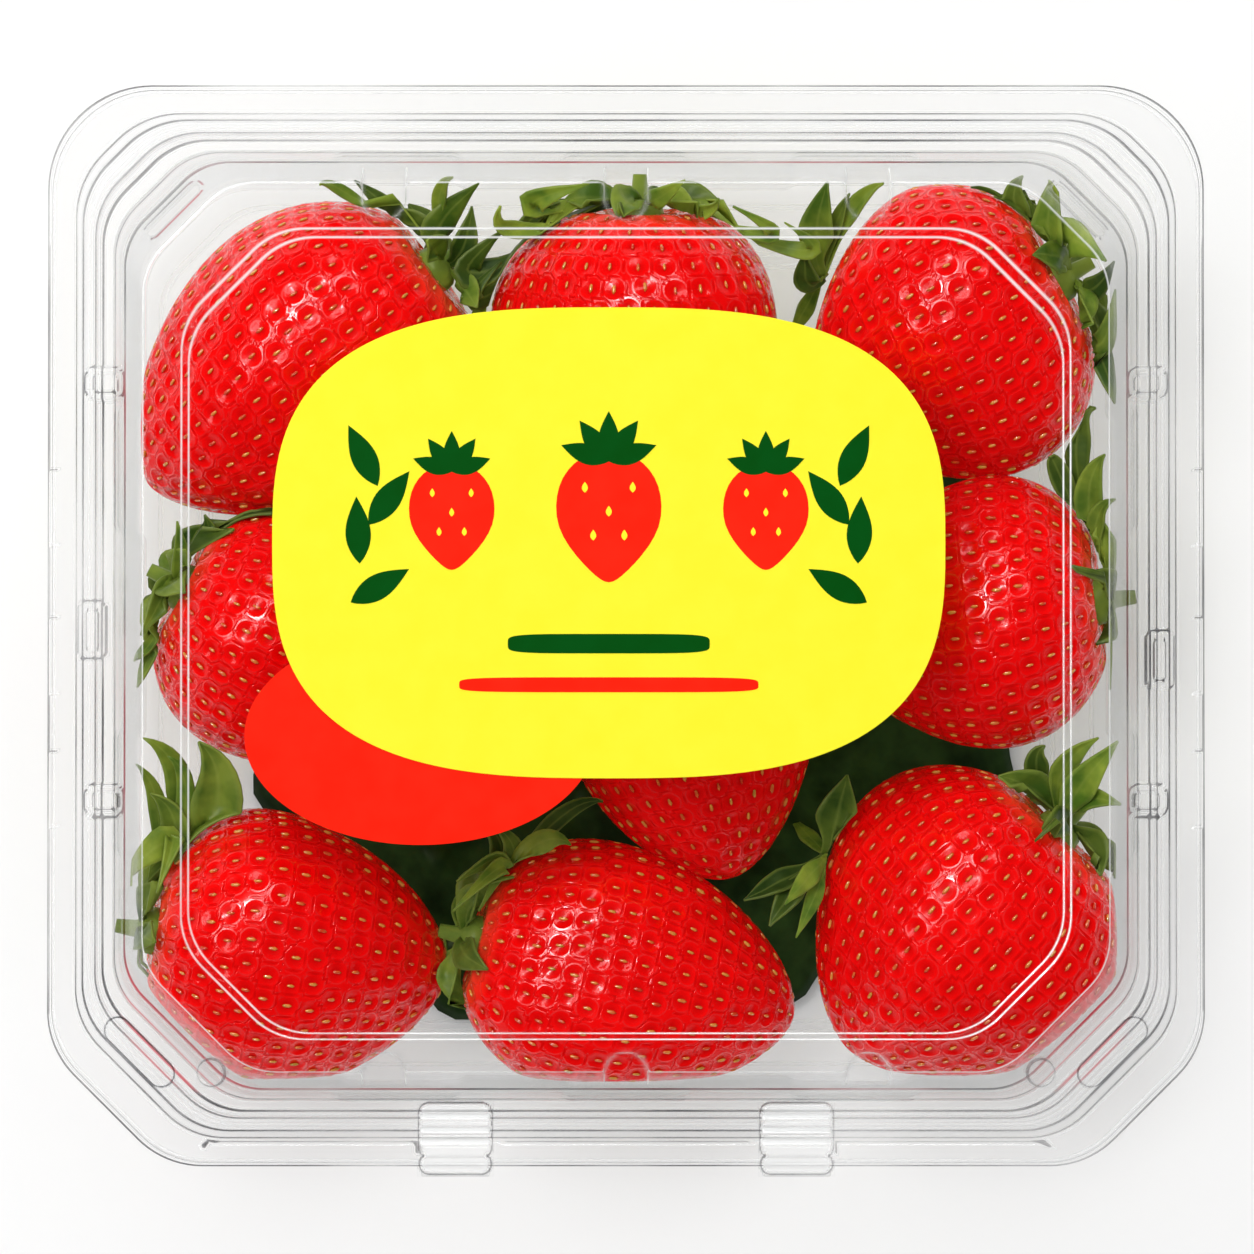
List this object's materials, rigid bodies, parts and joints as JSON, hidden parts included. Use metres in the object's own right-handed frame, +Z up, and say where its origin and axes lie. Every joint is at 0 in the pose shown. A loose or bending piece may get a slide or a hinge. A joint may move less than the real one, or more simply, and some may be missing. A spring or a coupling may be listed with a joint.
{
  "type": "punnet of strawberries",
  "caption": "Clear hinged film punnet with a latched, fluted lid, two plain stickers and one layer of whole strawberries.",
  "frame": {"origin": "under the middle of the shut pack, on the surface that it stands on", "axes": "+X across the pack, +Y to the hinged back edge, -Y to the latches, +Z up"},
  "size_m": [0.1562, 0.1474, 0.049],
  "materials": {
    "clear_film": "clear formed film",
    "berry_flesh": "glossy fruit skin",
    "berry_leaf": "soft leaf",
    "yellow_sticker": "smooth printed",
    "red_sticker": "smooth printed",
    "green_print": "smooth printed"
  },
  "bodies": {
    "tray": {"tray": "clear_film", "berries": "berry_flesh"},
    "lid": {"lid": "clear_film", "label_yellow": "yellow_sticker", "label_red": "red_sticker"}
  },
  "joints": [
    {"name": "lid_hinge", "type": "hinge", "parent": "tray", "child": "lid", "pos_m": [0, 0.0737, 0.03515], "axis": [-1, 0, 0], "range_deg": [0, 180]}
  ]
}
